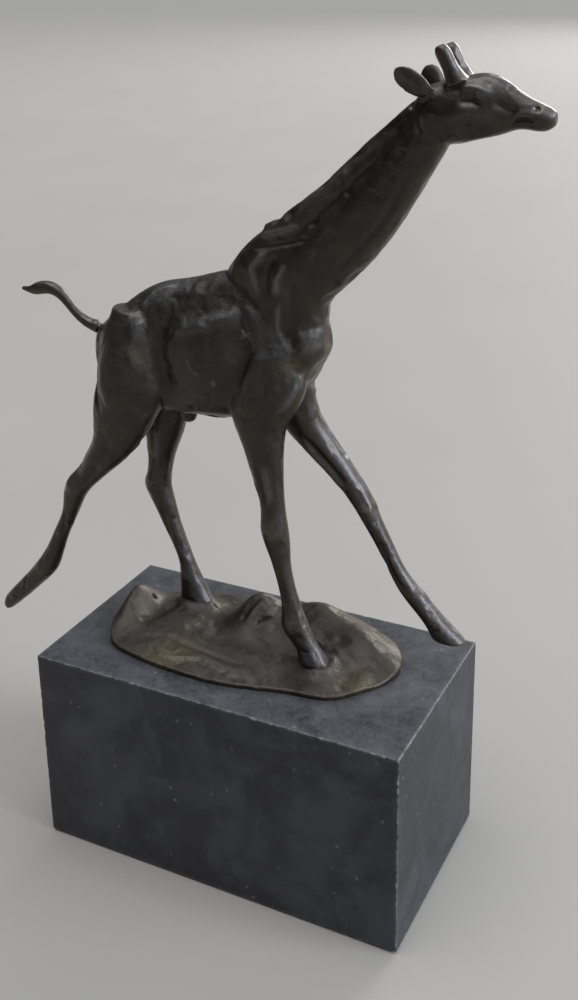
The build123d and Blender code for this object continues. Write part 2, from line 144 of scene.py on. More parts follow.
class Clay:
    """A mesh whose points move as a sculptor's would: strokes, dents and smoothing, in millimetres."""

    def __init__(self, mesh):
        self.mesh = mesh
        count = len(mesh.vertices)
        self.points = np.zeros(count * 3)
        mesh.vertices.foreach_get("co", self.points)
        self.points = self.points.reshape(-1, 3)
        edges = np.zeros(len(mesh.edges) * 2, np.int32)
        mesh.edges.foreach_get("vertices", edges)
        self.edges = edges.reshape(-1, 2)
        self.links = np.bincount(self.edges.ravel(), minlength=count).astype(float)
        loops = np.zeros(len(mesh.loops), np.int32)
        mesh.loops.foreach_get("vertex_index", loops)
        self.quads = loops.reshape(-1, 4)
        # tone: painted highlight where above zero and painted shade where below, built up by strokes and dabs
        self.tone = np.zeros(count)
        self.refresh()

    def refresh(self):
        """Finds the normals and the ray-casting tree again after the points have moved."""
        p = self.points
        q = self.quads
        across = np.cross(p[q[:, 2]] - p[q[:, 0]], p[q[:, 3]] - p[q[:, 1]])
        normals = np.zeros_like(p)
        for corner in range(4):
            for axis in range(3):
                normals[:, axis] += np.bincount(q[:, corner], across[:, axis], len(p))
        self.normals = normals / (np.linalg.norm(normals, axis=1, keepdims=True) + 1e-12)
        self.tree = BVHTree.FromPolygons(p.tolist(), q.tolist())

    def around(self, values):
        """The mean of each point's neighbours."""
        a, b = self.edges[:, 0], self.edges[:, 1]
        if values.ndim == 1:
            total = np.bincount(a, values[b], len(values)) + np.bincount(b, values[a], len(values))
            return total / self.links
        columns = [self.around(values[:, k]) for k in range(values.shape[1])]
        return np.stack(columns, axis=1)

    def smooth(self, rounds, weight=None):
        for _ in range(rounds):
            step = (self.around(self.points) - self.points) * 0.5
            self.points += step if weight is None else step * weight[:, None]

    def blurred(self, values, rounds):
        for _ in range(rounds):
            values = values * 0.5 + self.around(values) * 0.5
        return values

    def cast(self, start, way):
        """Where a ray first meets the skin."""
        place = self.tree.ray_cast(Vector(start), Vector(way))[0]
        if place is None:
            place = self.tree.find_nearest(Vector(start))[0]
        return np.array(place)

    def route(self, path):
        """A smooth line through the path's points, laid on the skin; also its normals."""
        path = np.array(path, float)
        ends = np.vstack([2 * path[0] - path[1], path, 2 * path[-1] - path[-2]])
        line = []
        for k in range(1, len(ends) - 2):
            count = max(2, int(np.linalg.norm(ends[k + 1] - ends[k]) / ROUTE_STEP))
            for t in np.arange(count) / count:
                a, b, c, d = ends[k - 1 : k + 3]
                slope = (c - a) * t
                bend = (2 * a - 5 * b + 4 * c - d) * t**2
                twist = (3 * b - a - 3 * c + d) * t**3
                line.append(0.5 * (2 * b + slope + bend + twist))
        line.append(path[-1])
        hits = [self.tree.find_nearest(Vector(p)) for p in line]
        return np.array([hit[0] for hit in hits]), np.array([hit[1] for hit in hits])

    def stroke(self, path, width, height, profile="round", taper=0.25):
        """Raises the skin along a path, or cuts it if height is negative.

        A step profile raises the left of the path and sinks its right, seen from outside.
        """
        line, outward = self.route(path)
        reach = width * (3.0 if profile == "sharp" else 2.6)
        low, high = line.min(0) - reach, line.max(0) + reach
        near = np.where(((self.points > low) & (self.points < high)).all(1))[0]
        p, n = self.points[near], self.normals[near]
        best = np.full(len(near), np.inf)
        share = np.zeros(len(near))
        side = np.zeros(len(near))
        facing_way = np.zeros(len(near))
        for k in range(len(line) - 1):
            a, b = line[k], line[k + 1]
            ab = b - a
            t = np.clip(((p - a) @ ab) / (ab @ ab + 1e-12), 0, 1)
            off = p - a - t[:, None] * ab
            gap = np.sqrt((off**2).sum(1))
            closer = gap < best
            best[closer] = gap[closer]
            share[closer] = (k + t[closer]) / (len(line) - 1)
            left = np.cross(outward[k], ab)
            side[closer] = (off[closer] @ left) / (np.linalg.norm(left) + 1e-12)
            facing_way[closer] = n[closer] @ outward[k]
        ends = np.minimum(share, 1 - share) / max(taper, 1e-6)
        ends = np.clip(ends, 0, 1)
        fade = ends * ends * (3 - 2 * ends)
        if profile == "sharp":
            shape = np.exp(-best / (0.6 * width))
        elif profile == "step":
            shape = np.tanh(side / (0.5 * width)) * np.exp(-((best / width) ** 2))
        else:
            shape = np.exp(-((best / width) ** 2))
        facing_fade = np.clip(facing_way / 0.4, 0, 1)
        rise = height * shape * fade * facing_fade
        self.points[near] += n * rise[:, None]
        # raised strokes get painted highlight and cut ones painted shade, put into the colour later
        self.tone[near] += painted_highlight_and_shade(rise, width)

    def dab(self, place, radius, height):
        """A round bump, or a dent if height is negative."""
        spot, outward, _, _ = self.tree.find_nearest(Vector(place))
        spot, outward = np.array(spot), np.array(outward)
        near = np.where(np.abs(self.points - spot).max(1) < 2.6 * radius)[0]
        gap = np.linalg.norm(self.points[near] - spot, axis=1)
        agree = np.clip(self.normals[near] @ outward / 0.4, 0, 1)
        rise = height * np.exp(-((gap / radius) ** 2)) * agree
        self.points[near] += self.normals[near] * rise[:, None]
        # bumps get painted highlight and dents painted shade, put into the colour later
        self.tone[near] += painted_highlight_and_shade(rise, radius)


# ---------------------------------------------------------------- marks on the bronze
# Each mark: profile, half width in mm, height in mm (below zero cuts), then points. A point is two shares of
# a casting's box, along its length and up its height, in twentieths. It is laid on the skin from the side.
TRUNK_MARKS = [
    # loin, upper flank and the roll of flesh under it
    ("round", 8.0, -1.3, (0.30, 0.65), (0.55, 0.70), (0.80, 0.80)),
    ("round", 3.0, 0.9, (0.35, 0.55), (0.55, 0.60), (0.75, 0.70)),
    ("round", 1.6, 0.8, (0.40, 0.75), (0.30, 0.70), (0.25, 0.60)),
    # belly, its keel, and the haunch behind it
    ("dab", 17.0, 2.0, (0.55, 0.45)),
    ("round", 1.2, 0.8, (0.45, 0.10), (0.60, 0.10)),
    ("round", 5.0, -2.2, (0.40, 0.65), (0.35, 0.45), (0.40, 0.20)),
    ("dab", 9.0, 1.0, (0.25, 0.50)),
    ("round", 1.8, 0.8, (0.30, 0.60), (0.25, 0.45), (0.30, 0.30)),
    ("round", 3.2, -0.8, (0.25, 0.20), (0.30, 0.10)),
    # rump
    ("round", 2.2, -1.5, (0.10, 0.50), (0.05, 0.30), (0.10, 0.05)),
    ("round", 1.4, 0.8, (0.15, 0.50), (0.10, 0.30), (0.15, 0.10)),
    # shoulder, the hollow behind the elbow, and the breast
    ("step", 5.0, 1.3, (0.70, 0.75), (0.75, 0.50), (0.70, 0.30)),
    ("round", 5.0, -1.5, (0.70, 0.60), (0.70, 0.40), (0.60, 0.20)),
    ("round", 4.5, -1.7, (0.90, 0.90), (0.90, 0.70), (0.85, 0.50)),
    ("round", 1.2, 0.8, (0.85, 0.75), (0.85, 0.60), (0.90, 0.50)),
    ("dab", 7.0, 1.4, (0.95, 0.50)),
    ("round", 1.6, 0.9, (0.95, 0.45), (0.90, 0.30), (0.85, 0.20)),
]
# Slips of the modelling tool on the right flank
TRUNK_SLIPS = [
    ("sharp", 0.8, 0.9, (0.50, 0.45), (0.50, 0.40), (0.55, 0.35)),
    ("sharp", 0.8, 0.9, (0.60, 0.35), (0.60, 0.30)),
    ("sharp", 0.8, 0.9, (0.70, 0.55), (0.75, 0.60)),
    ("sharp", 0.8, 0.9, (0.70, 0.60), (0.75, 0.55)),
]
NECK_MARKS = [
    # long bands from the withers to the poll
    ("round", 3.2, 0.9, (0.15, 0.35), (0.45, 0.65), (0.75, 0.95)),
    ("round", 1.8, -1.0, (0.20, 0.30), (0.50, 0.60), (0.80, 0.90)),
    ("round", 1.6, -0.9, (0.45, 0.15), (0.75, 0.50), (0.90, 0.80)),
    # leaf-shaped folds where the neck meets the shoulder
    ("round", 1.5, 1.2, (0.10, 0.05), (0.05, 0.20), (0.15, 0.30)),
    ("round", 1.6, -1.1, (0.15, 0.05), (0.15, 0.20), (0.20, 0.30)),
    ("round", 1.3, 1.0, (0.20, 0.05), (0.20, 0.15), (0.25, 0.25)),
    ("round", 1.3, 0.9, (0.05, 0.35), (0.20, 0.40), (0.35, 0.45)),
    ("round", 1.3, -0.9, (0.05, 0.30), (0.25, 0.35), (0.40, 0.40)),
]
HEAD_MARKS = [
    ("round", 1.4, -1.3, (0.45, 0.55), (0.60, 0.55)),
    ("round", 1.7, 1.1, (0.45, 0.65), (0.55, 0.65), (0.65, 0.60)),
    ("round", 2.0, 0.3, (0.35, 0.40), (0.55, 0.45), (0.70, 0.40)),
    ("round", 2.2, -0.7, (0.45, 0.30), (0.65, 0.30)),
    ("round", 1.6, -0.9, (0.25, 0.60), (0.20, 0.40), (0.25, 0.20)),
    ("round", 1.4, -0.8, (0.65, 0.55), (0.80, 0.45)),
    ("round", 1.8, -1.0, (0.10, 0.80), (0.25, 0.65)),
    ("sharp", 0.9, -1.5, (0.75, 0.35), (0.80, 0.40), (0.90, 0.40)),
    ("round", 1.2, 0.4, (0.75, 0.45), (0.90, 0.45)),
    ("dab", 1.1, -1.3, (0.90, 0.50)),
]
# Each leg: muscle and tendon, joint, cannon, fetlock, then the groove above the hoof
LEG_MARKS = {
    "foreleg_right_casting": [
        ("round", 1.4, 0.7, (0.30, 0.90), (0.35, 0.70)),
        ("round", 1.2, -0.8, (0.20, 0.90), (0.30, 0.70)),
        ("dab", 3.6, 0.7, (0.35, 0.60)),
        ("round", 1.1, -0.6, (0.40, 0.50), (0.50, 0.25)),
        ("dab", 3.0, 0.6, (0.55, 0.20)),
        ("sharp", 0.8, -0.8, (0.60, 0.10), (0.80, 0.10)),
    ],
    "foreleg_left_casting": [
        ("round", 1.8, 1.0, (0.05, 0.95), (0.20, 0.80), (0.35, 0.65)),
        ("round", 1.2, -1.3, (0.10, 0.95), (0.25, 0.80), (0.35, 0.70)),
        ("dab", 3.6, 0.8, (0.45, 0.60)),
        ("round", 1.1, -0.7, (0.50, 0.50), (0.60, 0.30), (0.70, 0.20)),
        ("dab", 3.0, 0.6, (0.75, 0.20)),
        ("sharp", 0.8, -0.8, (0.80, 0.05), (0.90, 0.10)),
    ],
    "hindleg_right_casting": [
        ("round", 1.4, 0.8, (0.75, 0.90), (0.60, 0.70)),
        ("round", 1.6, -0.9, (0.85, 0.90), (0.70, 0.75), (0.60, 0.65)),
        ("dab", 3.6, 0.8, (0.55, 0.65)),
        ("round", 1.1, -0.6, (0.50, 0.55), (0.45, 0.40)),
        ("dab", 3.4, 0.6, (0.30, 0.25)),
        ("sharp", 0.9, -0.9, (0.20, 0.20), (0.20, 0.10)),
    ],
    "hindleg_left_casting": [
        ("round", 1.4, 0.7, (0.40, 0.90), (0.30, 0.70)),
        ("dab", 3.2, 0.7, (0.20, 0.60)),
        ("round", 1.1, -0.6, (0.30, 0.50), (0.45, 0.30)),
        ("dab", 3.0, 0.6, (0.60, 0.15)),
        ("sharp", 0.8, -0.8, (0.55, 0.05), (0.80, 0.05)),
    ],
}
# On the ground the shares run along X and Y, and the marks are laid from above
GROUND_MARKS = [
    ("round", 1.9, 1.1, (0.15, 0.20), (0.30, 0.10), (0.40, 0.15), (0.55, 0.10), (0.65, 0.15)),
    ("round", 2.2, -0.9, (0.20, 0.25), (0.40, 0.20), (0.60, 0.20)),
    ("dab", 12.0, -0.8, (0.30, 0.35)),
    ("round", 3.0, -1.4, (0.10, 0.30), (0.15, 0.45), (0.20, 0.65)),
    ("sharp", 1.3, -1.8, (0.45, 0.50), (0.50, 0.65)),
    ("sharp", 1.1, -1.4, (0.50, 0.50), (0.55, 0.60)),
    ("round", 2.2, 1.2, (0.60, 0.60), (0.75, 0.55), (0.90, 0.45)),
    ("round", 2.8, -1.2, (0.60, 0.45), (0.75, 0.40), (0.85, 0.30)),
    ("dab", 1.1, -1.3, (0.10, 0.55)),
    ("dab", 1.2, -1.3, (0.15, 0.50)),
]
# Places handled or buffed back to metal: casting, radius in mm, strength, and a place as for the marks
RUBBED = [
    ("trunk_casting", 6.0, 0.5, (0.25, 0.40)),
    ("trunk_casting", 5.0, 0.6, (0.90, 0.45)),
    ("head_casting", 2.6, 0.8, (0.50, 0.65)),
    ("head_casting", 2.6, 0.5, (0.90, 0.50)),
    ("foreleg_right_casting", 4.0, 0.8, (0.35, 0.60)),
    ("foreleg_right_casting", 3.5, 0.7, (0.60, 0.20)),
    ("foreleg_left_casting", 4.0, 0.4, (0.45, 0.60)),
]
RUBBED_GROUND = [
    ("ground_casting", 11.0, 0.8, (0.30, 0.10)),
    ("ground_casting", 7.0, 0.7, (0.90, 0.35)),
    ("ground_casting", 6.0, 0.5, (0.10, 0.40)),
]
TOOL_LENGTH = 5.0
MIRROR_STRENGTH = 0.85


def laid(clay, node, place, side):
    """The skin at a place given as shares of a casting's box, from the right (-1), left (1) or above (0)."""
    low, high = corners(node)
    if side == 0:
        x, y = (low + (high - low) * [*place, 1.0])[:2]
        return clay.cast((x, y, high[2] + TOOL_LENGTH), (0, 0, -1))
    clear = TOOL_LENGTH if "leg" in node else 8 * TOOL_LENGTH
    edge = low[1] - clear if side < 0 else high[1] + clear
    along = low[0] + (high[0] - low[0]) * place[0]
    height = low[2] + (high[2] - low[2]) * place[1]
    return clay.cast((along, edge, height), (0, -side, 0))


def carve(clay, node, marks, sides):
    """Puts the marks on the given sides, a little weaker on the left."""
    for side in sides:
        for profile, width, height, *path in marks:
            points = [laid(clay, node, place, side) for place in path]
            strength = MIRROR_STRENGTH if side > 0 else 1.0
            if profile == "dab":
                clay.dab(points[0], width, height * strength)
                continue
            if profile == "step" and side > 0:
                points.reverse()
            clay.stroke(points, width, height * strength, profile)


def mane_hollows(clay, count):
    """Long shallow hollows lying along the mane, every other one lower and longer."""
    for k in range(count):
        share = k / count
        low = k % 2
        start = (0.12 + 0.60 * share, 0.42 - 0.04 * low + 0.55 * share)
        end = (start[0] + 0.06 + 0.03 * low, start[1] + 0.06 + 0.02 * low)
        for side in (-1, 1):
            path = [laid(clay, "neck_casting", place, side) for place in (start, end)]
            clay.stroke(path, 1.9, -0.9 + 0.3 * share, "round", taper=0.5)


def collar(clay, centre, reach, width, height):
    """Metal built up in a ring round a planted hoof, so that it seems to stand in the ground."""
    path = []
    for turn in range(17):
        angle = 2 * math.pi * turn / 16
        path.append(centre + np.array([reach[0] * math.cos(angle), reach[1] * math.sin(angle), 2.0]))
    clay.stroke(path, width, height, "round", taper=0)


def facets(clay, count, radii, depth, seed):
    """Small flat places all over, as a modelling tool leaves them."""
    random = np.random.default_rng(seed)
    for spot in random.integers(0, len(clay.points), count):
        place, outward = clay.points[spot].copy(), clay.normals[spot]
        way = outward + random.normal(0, 0.1, 3)
        way /= np.linalg.norm(way)
        radius = random.uniform(*radii)
        near = np.where(np.abs(clay.points - place).max(1) < radius)[0]
        off = clay.points[near] - place
        fade = np.clip(1.6 - 1.6 * np.linalg.norm(off, axis=1) / radius, 0, 1)
        agree = np.clip(clay.normals[near] @ outward * 2 - 1, 0, 1)
        over = off @ way + depth * random.uniform(0.4, 1.0)
        clay.points[near] -= way * (np.clip(over, -0.5 * depth, 2 * depth) * fade * agree)[:, None]


# ---------------------------------------------------------------- the animal's skin
skin = Clay(remeshed(joined(ANIMAL), SKIN_GRAIN))
on_head = np.clip((skin.points - HEAD_CUT) @ UP_THE_NECK / HEAD_BLEND, 0, 1)
skin.smooth(4)
skin.smooth(12, weight=1 - 0.8 * on_head)
skin.refresh()
carve(skin, "trunk_casting", TRUNK_MARKS, (-1, 1))
carve(skin, "neck_casting", NECK_MARKS, (-1, 1))
mane_hollows(skin, 7)
carve(skin, "head_casting", HEAD_MARKS, (-1, 1))
for leg, marks in LEG_MARKS.items():
    carve(skin, leg, marks, (-1, 1))
skin.refresh()
facets(skin, 750, (2.5, 6.5), 0.18, 3)
skin.smooth(2)
skin.refresh()
carve(skin, "trunk_casting", TRUNK_SLIPS, (-1,))
box_low, box_high = np.array(cad_box) / MM
skin.points = np.clip(skin.points, box_low + SKIN_MARGIN, box_high - SKIN_MARGIN)
skin.refresh()


# ---------------------------------------------------------------- parting the skin into castings
def tone_layers(clay):
    """How much each point stands proud or lies deep, finely and broadly, for the patina."""
    fine = ((clay.around(clay.points) - clay.points) * clay.normals).sum(1)
    fine = clay.blurred(fine, 4)
    start = clay.points.copy()
    clay.smooth(40)
    broad = ((clay.points - start) * clay.normals).sum(1)
    clay.points = start
    broad = clay.blurred(broad, 6)
    return {"proud_fine": -fine, "proud_broad": -broad}


def written(clay, rubs, side):
    """The clay's points and tones, put into its mesh, as a bmesh."""
    mesh = clay.mesh
    mesh.vertices.foreach_set("co", clay.points.ravel())
    layers = tone_layers(clay)
    layers["rubbed"] = np.zeros(len(clay.points))
    for node, radius, strength, place in rubs:
        gap = np.linalg.norm(clay.points - laid(clay, node, place, side), axis=1)
        layers["rubbed"] = np.maximum(layers["rubbed"], strength * np.exp(-((gap / radius) ** 2)))
    # pale is painted highlight along raised strokes and bumps, dark is painted shade along cuts and dents
    layers["pale"] = np.clip(clay.tone, 0, 1)
    layers["dark"] = np.clip(-clay.tone, 0, 1)
    for name, values in layers.items():
        layer = mesh.attributes.new(name, "FLOAT", "POINT")
        layer.data.foreach_set("value", values.astype(np.float32))
    mesh.polygons.foreach_set("use_smooth", [True] * len(mesh.polygons))
    whole = bmesh.new()
    whole.from_mesh(mesh)
    bpy.data.meshes.remove(mesh)
    return whole


def cut_off(source, point, way):
    """Parts source at a plane: returns the side that `way` points to, and leaves the rest in source."""
    geometry = source.verts[:] + source.edges[:] + source.faces[:]
    bmesh.ops.bisect_plane(source, geom=geometry, plane_co=point, plane_no=way, dist=1e-5)
    other = source.copy()
    for part, sign in ((source, 1), (other, -1)):
        away = [f for f in part.faces if sign * (f.calc_center_median() - Vector(point)).dot(Vector(way)) > 0]
        bmesh.ops.delete(part, geom=away, context="FACES")
    return other


def islands(source):
    """The connected parts of a bmesh, each as a bmesh."""
    left = set(source.faces)
    found = []
    while left:
        start = left.pop()
        group, heap = {start}, [start]
        while heap:
            for edge in heap.pop().edges:
                for other in edge.link_faces:
                    if other in left:
                        left.remove(other)
                        group.add(other)
                        heap.append(other)
        found.append(group)
    parts = []
    for group in found:
        for face in source.faces:
            face.tag = face in group
        part = source.copy()
        bmesh.ops.delete(part, geom=[face for face in part.faces if not face.tag], context="FACES")
        parts.append(part)
    return parts


def capped(part):
    """Closes the rims that a cut has left with flat caps."""
    rims = [edge for edge in part.edges if edge.is_boundary]
    caps = bmesh.ops.holes_fill(part, edges=rims, sides=0)["faces"]
    for edge in rims:
        edge.smooth = False
    caps = bmesh.ops.triangulate(part, faces=caps)["faces"]
    for face in caps:
        face.smooth = False
    return part


def piece(name, part, node, finish):
    """A finished piece from a bmesh in millimetres, which it frees."""
    mesh = bpy.data.meshes.new(name)
    part.to_mesh(mesh)
    part.free()
    mesh.transform(Matrix.Scale(MM, 4))
    mesh.materials.append(finish)
    made = bpy.data.objects.new(name, mesh)
    bpy.context.scene.collection.objects.link(made)
    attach(made, "root")
    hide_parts(node)
    return made


# ---------------------------------------------------------------- finishes
class Finish:
    """A node material, with short calls for its nodes. Sizes are in millimetres."""

    def __init__(self, name):
        self.material = bpy.data.materials.new(name)
        self.material.use_nodes = True
        self.tree = self.material.node_tree
        self.surface = self.tree.nodes["Principled BSDF"]
        self.place = self.tree.nodes.new("ShaderNodeTexCoord").outputs["Object"]

    def put(self, socket, value):
        if isinstance(value, bpy.types.NodeSocket):
            self.tree.links.new(value, socket)
        else:
            socket.default_value = value

    def add(self, kind, settings, inputs):
        node = self.tree.nodes.new(kind)
        for key, value in settings.items():
            setattr(node, key, value)
        for key, value in inputs.items():
            self.put(node.inputs[key], value)
        return node

    def set(self, **values):
        for name, value in values.items():
            self.put(self.surface.inputs[name.replace("_", " ")], value)

    def noise(self, lump, detail=4.0, rough=0.55, twist=0.0, place=None):
        """Noise from 0 to 1 whose lumps are about `lump` across."""
        inputs = {"Vector": place or self.place, "Scale": 1 / (lump * MM), "Detail": detail}
        inputs.update({"Roughness": rough, "Distortion": twist})
        return self.add("ShaderNodeTexNoise", {}, inputs).outputs["Fac"]

    def cells(self, size):
        """The distance to the middle of the nearest cell, in cells."""
        inputs = {"Vector": self.place, "Scale": 1 / (size * MM)}
        return self.add("ShaderNodeTexVoronoi", {}, inputs).outputs["Distance"]

    def stretched(self, scale, turn):
        inputs = {"Vector": self.place, "Scale": scale, "Rotation": turn}
        return self.add("ShaderNodeMapping", {}, inputs).outputs["Vector"]

    def ramp(self, value, low, high):
        """0 where value is at low, 1 where it is at high, smooth between."""
        inputs = {"Value": value, "From Min": low, "From Max": high}
        return self.add("ShaderNodeMapRange", {"interpolation_type": "SMOOTHSTEP"}, inputs).outputs["Result"]

    def mix(self, share, a, b):
        return self.add("ShaderNodeMix", {"data_type": "RGBA"}, {0: share, 6: a, 7: b}).outputs[2]

    def maths(self, operation, a, b):
        settings = {"operation": operation, "use_clamp": operation == "ADD"}
        return self.add("ShaderNodeMath", settings, {0: a, 1: b}).outputs[0]

    def plus(self, a, b):
        return self.maths("ADD", a, b)

    def times(self, a, b):
        return self.maths("MULTIPLY", a, b)

    def layer(self, name):
        return self.add("ShaderNodeAttribute", {"attribute_name": name}, {}).outputs["Fac"]

    def facing(self, way):
        """How far the surface faces `way`, from -1 to 1."""
        normal = self.add("ShaderNodeNewGeometry", {}, {}).outputs["Normal"]
        settings = {"operation": "DOT_PRODUCT"}
        return self.add("ShaderNodeVectorMath", settings, {0: normal, 1: way}).outputs["Value"]

    def bump(self, *heights):
        """Lays bumps over each other, each a height from 0 to 1 and its depth."""
        normal = None
        for height, depth in heights:
            inputs = {"Height": height, "Distance": depth * MM}
            if normal is not None:
                inputs["Normal"] = normal
            normal = self.add("ShaderNodeBump", {}, inputs).outputs["Normal"]
        self.put(self.surface.inputs["Normal"], normal)


def colour(red, green, blue):
    return (red, green, blue, 1.0)


def bronze_finish(name, dark, olive, worn, grey, rub, gloss):
    """Patinated bronze: brown-black, rubbed to metal where it stands proud or is handled, with a painted grey
    sheen on faces turned upwards, painted highlight on raised strokes and painted shade in cut ones.
    """
    f = Finish(name)
    broad = f.noise(26, 3)
    mottle = f.noise(7, 6, 0.6, 0.4)
    grain = f.noise(1.6, 5, 0.65)
    base = f.mix(f.ramp(f.plus(f.times(broad, 0.6), f.times(mottle, 0.4)), 0.38, 0.64), dark, olive)
    patches = f.ramp(f.plus(f.times(mottle, 0.6), f.times(grain, 0.4)), 0.2, 0.66)
    # painted sheen: grey on faces turned upwards, standing in for the reflection of a bright sky
    sheen = f.times(f.ramp(f.facing((0.35, -0.3, 0.88)), 0.3, 0.9), patches)
    base = f.mix(f.times(sheen, 0.7), base, grey)
    # painted highlight: raised strokes greyed through the pale layer
    soft = f.ramp(f.plus(f.times(mottle, 0.5), f.times(grain, 0.5)), 0.1, 0.6)
    pale = f.times(f.layer("pale"), soft)
    base = f.mix(f.times(pale, 0.9), base, grey)
    # painted shade: cut strokes darkened through the dark layer
    base = f.mix(f.times(f.layer("dark"), 0.75), base, colour(*[0.4 * part for part in dark[:3]]))
    hollow = f.ramp(f.layer("proud_broad"), -0.05, -0.5)
    base = f.mix(f.times(hollow, 0.85), base, colour(*[0.35 * part for part in dark[:3]]))
    pits = f.ramp(f.plus(f.cells(4.5), f.times(grain, 0.5)), 0.3, 0.2)
    base = f.mix(f.times(pits, 0.6), base, colour(*[0.3 * part for part in dark[:3]]))
    proud = f.maths("MULTIPLY_ADD", f.layer("proud_fine"), 14.0)
    f.put(proud.node.inputs[2], f.layer("proud_broad"))
    edge = f.times(f.times(f.ramp(proud, 0.15, 1.0), f.ramp(grain, 0.35, 0.62)), rub)
    spots = f.ramp(f.plus(f.times(mottle, 0.5), f.times(grain, 0.5)), 0.36, 0.6)
    handled = f.times(f.layer("rubbed"), spots)
    edge = f.plus(edge, f.times(handled, 0.8))
    rough = f.plus(f.times(mottle, 0.26), f.plus(f.times(hollow, 0.2), 0.36 - 0.3 * gloss))
    rough = f.maths("SUBTRACT", rough, f.times(edge, 0.05))
    f.set(Base_Color=f.mix(edge, base, worn), Metallic=0.5, Roughness=rough)
    f.set(Coat_Weight=gloss, Coat_Roughness=0.24, Specular_Tint=colour(1.0, 0.86, 0.7))
    brush = f.noise(1.1, 4, 0.6, 0.0, f.stretched((0.25, 1.0, 0.6), (0.2, 0.5, 0.1)))
    f.bump((mottle, 0.6), (grain, 0.2), (brush, 0.14), (pits, -0.25))
    return f.material


def marble_finish():
    """Honed black marble with grey clouds and white flecks, paler and rougher along its worn edges."""
    f = Finish("black_marble")
    cloud = f.noise(34, 6, 0.62, 0.8)
    smear = f.noise(9, 6, 0.65, 0.5)
    grain = f.noise(1.3, 5, 0.7)
    base = f.mix(f.ramp(cloud, 0.40, 0.66), colour(0.012, 0.013, 0.018), colour(0.036, 0.038, 0.05))
    base = f.mix(f.times(f.ramp(smear, 0.5, 0.78), 0.5), base, colour(0.06, 0.064, 0.08))
    upward = f.ramp(f.facing((0, 0, 1)), 0.5, 0.9)
    dust = f.times(upward, f.ramp(f.plus(f.times(smear, 0.5), f.times(grain, 0.5)), 0.3, 0.62))
    base = f.mix(f.times(dust, 0.75), base, colour(0.085, 0.087, 0.096))
    fleck = f.times(f.ramp(f.cells(7), 0.15, 0.09), f.ramp(smear, 0.48, 0.6))
    base = f.mix(f.times(fleck, 0.5), base, colour(0.2, 0.2, 0.21))
    scuff = f.times(f.layer("edge"), f.ramp(f.noise(2.2, 5, 0.7), 0.34, 0.62))
    chalk = f.plus(scuff, f.layer("chip"))
    rough = f.plus(f.times(smear, 0.3), f.plus(f.times(chalk, 0.25), 0.26))
    f.set(Base_Color=f.mix(f.times(chalk, 0.8), base, colour(0.22, 0.22, 0.225)), Roughness=rough)
    f.bump((cloud, 0.1), (smear, 0.08), (grain, 0.07))
    return f.material


def felt_finish():
    f = Finish("felt")
    tuft = f.noise(0.9, 8, 0.75, 1.2)
    f.set(Base_Color=f.mix(tuft, colour(0.010, 0.018, 0.013), colour(0.045, 0.065, 0.05)))
    f.set(Roughness=f.plus(f.times(tuft, 0.1), 0.86), Sheen_Weight=0.4)
    f.bump((tuft, 0.35), (f.noise(5), 0.3))
    return f.material


def zinc_finish():
    f = Finish("zinc_plate")
    spangle = f.noise(1.8, 5, 0.6)
    f.set(Base_Color=f.mix(spangle, colour(0.42, 0.43, 0.45), colour(0.66, 0.66, 0.64)), Metallic=1.0)
    f.set(Roughness=f.plus(f.times(spangle, 0.25), 0.24))
    f.bump((f.noise(0.5), 0.02), (spangle, 0.02))
    return f.material


def floor_finish():
    f = Finish("pale_floor")
    cloud = f.noise(220, 4, 0.5)
    f.set(Base_Color=f.mix(cloud, colour(0.34, 0.33, 0.31), colour(0.375, 0.36, 0.34)))
    f.set(Roughness=f.plus(f.times(cloud, 0.1), 0.6))
    return f.material


# ---------------------------------------------------------------- the castings
# The grey colour is that of the painted sheen and painted highlights.
bronze = bronze_finish(
    "bronze_patina", colour(0.0145, 0.0112, 0.0082), colour(0.032, 0.0255, 0.0175),
    colour(0.15, 0.115, 0.062),
    colour(0.13, 0.134, 0.144), 0.22, 0.42)
upper = written(skin, RUBBED, -1)
leg_cut = (0, 0, corners("trunk_casting")[0][2])
lower = cut_off(upper, leg_cut, (0, 0, -1))
neck = cut_off(upper, NECK_CUT, UP_THE_NECK)
head = cut_off(neck, HEAD_CUT, UP_THE_NECK)
tail = cut_off(upper, TAIL_CUT, (-1, 0, 0))
for name, part in (("trunk", upper), ("neck", neck), ("head", head), ("tail", tail)):
    piece(name, capped(part), name + "_casting", bronze)
for part in islands(lower):
    middle = np.mean([vert.co for vert in part.verts], axis=0)
    gaps = {leg: np.linalg.norm(middle - np.mean(corners(leg), axis=0)) for leg in ANIMAL[4:]}
    leg = min(gaps, key=gaps.get)
    piece(leg.replace("_casting", ""), capped(part), leg, bronze)
lower.free()

# ---------------------------------------------------------------- rocky ground
# Round the left hind and right fore hoof: the middle as shares of the ground's box, and the reach in mm
COLLARS = (((0.234, 0.674, 0.43), (8.4, 5.6)), ((0.759, 0.376, 0.26), (6.2, 5.2)))
ground = Clay(remeshed(joined(["ground_casting"]), GROUND_GRAIN))
ground.smooth(8)
ground.refresh()
carve(ground, "ground_casting", GROUND_MARKS, (0,))
for share, reach in COLLARS:
    collar(ground, at("ground_casting", *share), reach, 3.2, 1.6)
ground.refresh()
facets(ground, 260, (2.5, 7.0), 0.25, 4)
ground.smooth(1)
ground.refresh()
# The grey colour is that of the painted sheen and painted highlights.
ground_bronze = bronze_finish(
    "ground_patina", colour(0.022, 0.0175, 0.011), colour(0.050, 0.041, 0.025), colour(0.15, 0.108, 0.055),
    colour(0.075, 0.075, 0.074), 0.14, 0.12)
piece("rocky_ground", written(ground, RUBBED_GROUND, 0), "ground_casting", ground_bronze)

